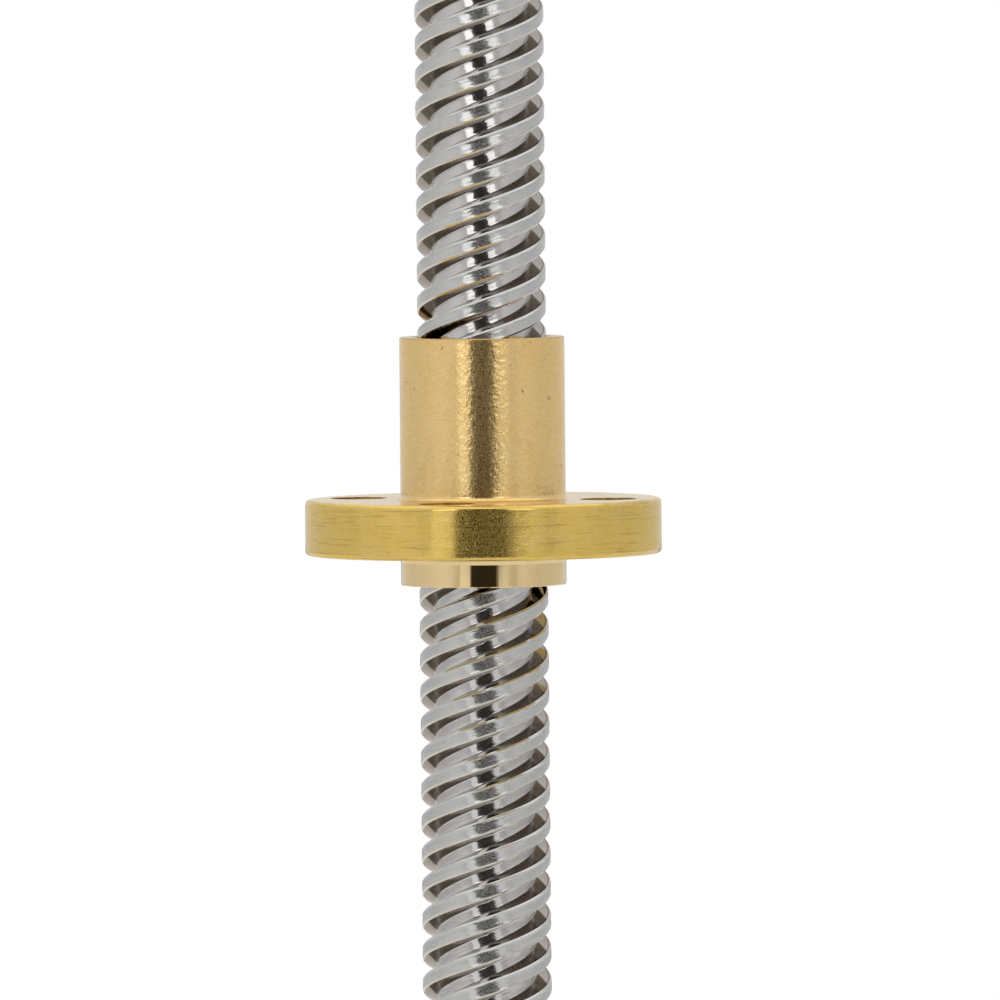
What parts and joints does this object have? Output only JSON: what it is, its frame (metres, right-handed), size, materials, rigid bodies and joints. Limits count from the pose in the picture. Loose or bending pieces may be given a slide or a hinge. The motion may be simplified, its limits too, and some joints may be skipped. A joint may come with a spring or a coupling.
{
  "type": "stepper motor with lead screw",
  "caption": "Square stepper motor whose shaft is an upright multi-start lead screw carrying a round flanged brass nut.",
  "frame": {"origin": "centre of the motor's rear face, which it stands on", "axes": "+Z along the lead screw, away from the motor; the connector faces -Y"},
  "size_m": [0.0424, 0.0424, 0.19],
  "materials": {
    "cast_aluminium": "die cast, faces machined",
    "stack_black": "black painted laminations",
    "screw_stainless": "rolled and polished",
    "nut_brass": "turned",
    "zinc_steel": "zinc plated",
    "bearing_steel": "ground",
    "shield_steel": "pressed sheet",
    "copper_enamel": "enamelled copper wire",
    "bobbin_nylon": "moulded",
    "connector_nylon": "moulded",
    "tinned_pin": "tin plated",
    "board_green": "printed circuit board",
    "rotor_steel": "ground laminations",
    "magnet": "nickel plated"
  },
  "bodies": {
    "motor_body": {"front_end_cap": "cast_aluminium", "rear_end_cap": "cast_aluminium", "case_screws": "zinc_steel", "stator_core": "stack_black", "front_bobbin": "bobbin_nylon", "rear_bobbin": "bobbin_nylon", "terminal_board": "board_green", "lead_out_wires": "copper_enamel", "connector_housing": "connector_nylon", "connector_pins": "tinned_pin", "wave_washer": "shield_steel", "front_bearing_outer_ring": "bearing_steel", "front_bearing_shields": "shield_steel", "rear_bearing_outer_ring": "bearing_steel", "rear_bearing_shields": "shield_steel", "coil_1": "copper_enamel", "coil_2": "copper_enamel", "coil_3": "copper_enamel", "coil_4": "copper_enamel", "coil_5": "copper_enamel", "coil_6": "copper_enamel", "coil_7": "copper_enamel", "coil_8": "copper_enamel"},
    "rotor": {"four_start_lead_screw": "screw_stainless", "rotor_cup_front": "rotor_steel", "rotor_cup_rear": "rotor_steel", "rotor_magnet": "magnet", "front_spacer": "bearing_steel", "rear_spacer": "bearing_steel", "front_bearing_inner_ring": "bearing_steel", "rear_bearing_inner_ring": "bearing_steel"},
    "front_balls": {"front_bearing_balls": "bearing_steel", "front_bearing_cage": "shield_steel"},
    "rear_balls": {"rear_bearing_balls": "bearing_steel", "rear_bearing_cage": "shield_steel"},
    "nut": {"lead_nut": "nut_brass"}
  },
  "joints": [
    {"name": "screw_spin", "type": "hinge", "parent": "motor_body", "child": "rotor", "pos_m": [0, 0, 0], "axis": [0, 0, 1], "range_deg": [-3375, 2475]},
    {"name": "nut_travel", "type": "slide", "parent": "motor_body", "child": "nut", "axis": [0, 0, 1], "range_m": [-0.05501, 0.07501]},
    {"name": "front_balls_orbit", "type": "hinge", "parent": "motor_body", "child": "front_balls", "pos_m": [0, 0, 0.0357], "axis": [0, 0, 1], "range_deg": [-1177.73, 863.8]},
    {"name": "rear_balls_orbit", "type": "hinge", "parent": "motor_body", "child": "rear_balls", "pos_m": [0, 0, 0.0047], "axis": [0, 0, 1], "range_deg": [-1177.73, 863.8]}
  ],
  "couplings": [
    {"joint": "nut_travel", "follows": "screw_spin", "m_per_rad": -0.0012732},
    {"joint": "front_balls_orbit", "follows": "screw_spin", "ratio": 0.34881},
    {"joint": "rear_balls_orbit", "follows": "screw_spin", "ratio": 0.34881}
  ]
}
